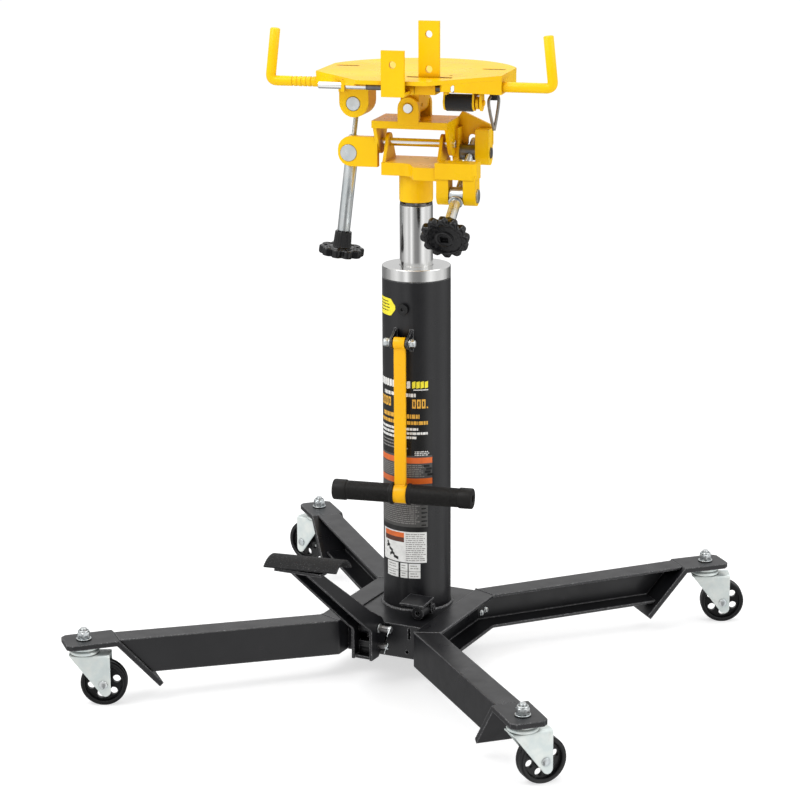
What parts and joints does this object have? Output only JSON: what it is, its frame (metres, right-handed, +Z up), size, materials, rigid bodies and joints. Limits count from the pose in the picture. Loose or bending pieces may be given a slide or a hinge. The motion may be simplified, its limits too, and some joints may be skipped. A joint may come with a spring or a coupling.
{
  "type": "transmission jack",
  "caption": "Telescopic column jack on a splayed caster base, with foot pump, release lever, folding T-handle and a tilting saddle with retaining rods and brackets.",
  "frame": {"origin": "on the floor, at the middle of the bounding box; the axis of the lifting column stands 31 mm behind it", "axes": "+Z up, -Y towards the foot pump at the front, +X to the right of someone who stands in front at the pump and faces the column"},
  "size_m": [0.8265, 0.8138, 0.993],
  "materials": {
    "black_paint": "satin black powder coat",
    "yellow_paint": "gloss amber-yellow powder coat",
    "chrome_rod": "hard chrome, ground",
    "zinc_plate": "bright zinc plate",
    "dark_steel": "black oxide steel",
    "knob_plastic": "glossy black moulding",
    "wheel_plastic": "hard black plastic",
    "grip_rubber": "moulded rubber",
    "webbing": "woven polyester webbing"
  },
  "bodies": {
    "base": {"side_frame_left": "black_paint", "side_frame_right": "black_paint", "base_tray": "black_paint", "leg_plate_fl": "black_paint", "leg_plate_fr": "black_paint", "leg_plate_rl": "black_paint", "leg_plate_rr": "black_paint", "caster_stem_fl": "zinc_plate", "caster_stem_fr": "zinc_plate", "caster_stem_rl": "zinc_plate", "caster_stem_rr": "zinc_plate", "reservoir": "black_paint", "lift_cylinder": "dark_steel", "column_collar": "chrome_rod", "filler_plug": "knob_plastic", "handle_pin": "zinc_plate", "pump_block": "black_paint", "release_valve": "black_paint", "pedal_pivot_pin": "zinc_plate"},
    "first_ram": {"ram_first_stage": "chrome_rod", "ram_gland": "dark_steel"},
    "second_ram": {"ram_second_stage": "chrome_rod"},
    "lower_head": {"lower_yoke": "yellow_paint", "tilt_shaft": "chrome_rod"},
    "middle_head": {"middle_yoke": "yellow_paint", "saddle_pin": "chrome_rod"},
    "saddle": {"saddle_plate": "yellow_paint", "bracket_bar": "chrome_rod", "strap_ratchet": "yellow_paint", "strap_hook": "dark_steel"},
    "strap_roll": {"strap_roll": "webbing"},
    "rod_left": {"arm_rod_left": "yellow_paint"},
    "rod_right": {"arm_rod_right": "yellow_paint"},
    "bracket_tall": {"stop_bracket_tall": "yellow_paint"},
    "bracket_short": {"stop_bracket_short": "yellow_paint"},
    "dowel": {"side_dowel": "zinc_plate"},
    "trunnion": {"side_trunnion": "zinc_plate"},
    "side_screw": {"side_screw": "zinc_plate"},
    "side_knob": {"side_sleeve": "zinc_plate", "side_knob": "knob_plastic"},
    "swivel": {"front_swivel": "zinc_plate"},
    "nut": {"front_nut": "dark_steel"},
    "front_screw": {"front_screw": "zinc_plate", "front_knob": "knob_plastic"},
    "handle": {"handle_arm": "yellow_paint", "grip_left": "grip_rubber", "grip_right": "grip_rubber"},
    "pump_pedal": {"pedal_arm": "black_paint", "pedal_pad": "grip_rubber", "pedal_link_pin": "zinc_plate"},
    "plunger": {"pump_plunger": "black_paint"},
    "release_lever": {"release_pedal": "black_paint"},
    "fork_fl": {"caster_fork_fl": "zinc_plate"},
    "wheel_fl": {"caster_wheel_fl": "wheel_plastic"},
    "fork_fr": {"caster_fork_fr": "zinc_plate"},
    "wheel_fr": {"caster_wheel_fr": "wheel_plastic"},
    "fork_rl": {"caster_fork_rl": "zinc_plate"},
    "wheel_rl": {"caster_wheel_rl": "wheel_plastic"},
    "fork_rr": {"caster_fork_rr": "zinc_plate"},
    "wheel_rr": {"caster_wheel_rr": "wheel_plastic"}
  },
  "joints": [
    {"name": "first_stage_lift", "type": "slide", "parent": "base", "child": "first_ram", "axis": [0, 0, 1], "range_m": [0, 0.49]},
    {"name": "second_stage_lift", "type": "slide", "parent": "first_ram", "child": "second_ram", "axis": [0, 0, 1], "range_m": [0, 0.48]},
    {"name": "head_turn", "type": "hinge", "parent": "second_ram", "child": "lower_head", "pos_m": [0, 0.031, 0.72], "axis": [0, 0, 1], "continuous": true},
    {"name": "head_tilt", "type": "hinge", "parent": "lower_head", "child": "middle_head", "pos_m": [0, 0.031, 0.804], "axis": [0.9816, 0.1908, 0], "range_deg": [-15, 15]},
    {"name": "saddle_tilt", "type": "hinge", "parent": "middle_head", "child": "saddle", "pos_m": [-0.00147, 0.03071, 0.86], "axis": [-0.1908, 0.9816, 0], "range_deg": [-7, 7]},
    {"name": "front_swivel_turn", "type": "hinge", "parent": "lower_head", "child": "swivel", "pos_m": [0.08763, -0.01105, 0.737], "axis": [0.9816, 0.1908, 0], "range_deg": [-3, 3]},
    {"name": "front_nut_turn", "type": "hinge", "parent": "middle_head", "child": "nut", "pos_m": [0.0718, 0.07042, 0.7884], "axis": [0.9816, 0.1908, 0], "range_deg": [-14, 14]},
    {"name": "front_screw_spin", "type": "hinge", "parent": "swivel", "child": "front_screw", "pos_m": [0.08763, -0.01105, 0.737], "axis": [0.1622, -0.8346, -0.5265], "continuous": true},
    {"name": "trunnion_turn", "type": "hinge", "parent": "middle_head", "child": "trunnion", "pos_m": [-0.09679, 0.01219, 0.788], "axis": [-0.1908, 0.9816, 0], "range_deg": [-2, 2]},
    {"name": "side_screw_slide", "type": "slide", "parent": "trunnion", "child": "side_screw", "axis": [0.1185, 0.023, 0.9927], "range_m": [-0.012, 0.012]},
    {"name": "side_knob_spin", "type": "hinge", "parent": "trunnion", "child": "side_knob", "pos_m": [-0.09679, 0.01219, 0.788], "axis": [-0.1185, -0.023, -0.9927], "continuous": true},
    {"name": "dowel_turn", "type": "hinge", "parent": "saddle", "child": "dowel", "pos_m": [-0.08795, 0.0139, 0.862], "axis": [-0.1908, 0.9816, 0], "range_deg": [-9, 9]},
    {"name": "left_rod_slide", "type": "slide", "parent": "saddle", "child": "rod_left", "axis": [-0.9816, -0.1908, 0], "range_m": [0, 0.03]},
    {"name": "right_rod_slide", "type": "slide", "parent": "saddle", "child": "rod_right", "axis": [0.9816, 0.1908, 0], "range_m": [0, 0.03]},
    {"name": "tall_bracket_slide", "type": "slide", "parent": "saddle", "child": "bracket_tall", "axis": [0.9816, 0.1908, 0], "range_m": [0, 0.011]},
    {"name": "short_bracket_slide", "type": "slide", "parent": "saddle", "child": "bracket_short", "axis": [-0.9816, -0.1908, 0], "range_m": [0, 0.06]},
    {"name": "strap_wind", "type": "hinge", "parent": "saddle", "child": "strap_roll", "pos_m": [0.09137, -0.00931, 0.8735], "axis": [0.9816, 0.1908, 0], "continuous": true},
    {"name": "handle_lift", "type": "hinge", "parent": "base", "child": "handle", "pos_m": [0.00687, -0.04101, 0.514], "axis": [-0.9816, -0.1908, 0], "range_deg": [0, 100]},
    {"name": "pump_stroke", "type": "hinge", "parent": "base", "child": "pump_pedal", "pos_m": [-0.0127, -0.112, 0.088], "axis": [1, 0, 0], "range_deg": [0, 20]},
    {"name": "plunger_push", "type": "slide", "parent": "base", "child": "plunger", "axis": [0, 1, 0], "range_m": [0, 0.0105]},
    {"name": "release_press", "type": "hinge", "parent": "base", "child": "release_lever", "pos_m": [0.0415, -0.024, 0.0985], "axis": [1, 0, 0], "range_deg": [0, 5]},
    {"name": "caster_turn_fl", "type": "hinge", "parent": "base", "child": "fork_fl", "pos_m": [-0.352, -0.372, 0.08], "axis": [0, 0, 1], "continuous": true},
    {"name": "wheel_roll_fl", "type": "hinge", "parent": "fork_fl", "child": "wheel_fl", "pos_m": [-0.32683, -0.35973, 0.0345], "axis": [-0.4384, 0.8988, 0], "continuous": true},
    {"name": "caster_turn_fr", "type": "hinge", "parent": "base", "child": "fork_fr", "pos_m": [0.352, -0.372, 0.08], "axis": [0, 0, 1], "continuous": true},
    {"name": "wheel_roll_fr", "type": "hinge", "parent": "fork_fr", "child": "wheel_fr", "pos_m": [0.37074, -0.35119, 0.0345], "axis": [-0.7431, 0.6691, 0], "continuous": true},
    {"name": "caster_turn_rl", "type": "hinge", "parent": "base", "child": "fork_rl", "pos_m": [-0.352, 0.3705, 0.08], "axis": [0, 0, 1], "continuous": true},
    {"name": "wheel_roll_rl", "type": "hinge", "parent": "fork_rl", "child": "wheel_rl", "pos_m": [-0.37911, 0.37751, 0.0345], "axis": [-0.2504, -0.9681, 0], "continuous": true},
    {"name": "caster_turn_rr", "type": "hinge", "parent": "base", "child": "fork_rr", "pos_m": [0.352, 0.3705, 0.08], "axis": [0, 0, 1], "continuous": true},
    {"name": "wheel_roll_rr", "type": "hinge", "parent": "fork_rr", "child": "wheel_rr", "pos_m": [0.37717, 0.38277, 0.0345], "axis": [-0.4384, 0.8988, 0], "continuous": true}
  ],
  "couplings": [
    {"joint": "front_swivel_turn", "follows": "head_tilt", "ratio": 0.1336},
    {"joint": "front_nut_turn", "follows": "head_tilt", "ratio": -0.8664},
    {"joint": "trunnion_turn", "follows": "saddle_tilt", "ratio": -0.1161},
    {"joint": "dowel_turn", "follows": "saddle_tilt", "ratio": -1.1161},
    {"joint": "side_screw_slide", "follows": "saddle_tilt", "m_per_rad": 0.0877},
    {"joint": "plunger_push", "follows": "pump_stroke", "m_per_rad": 0.028}
  ]
}
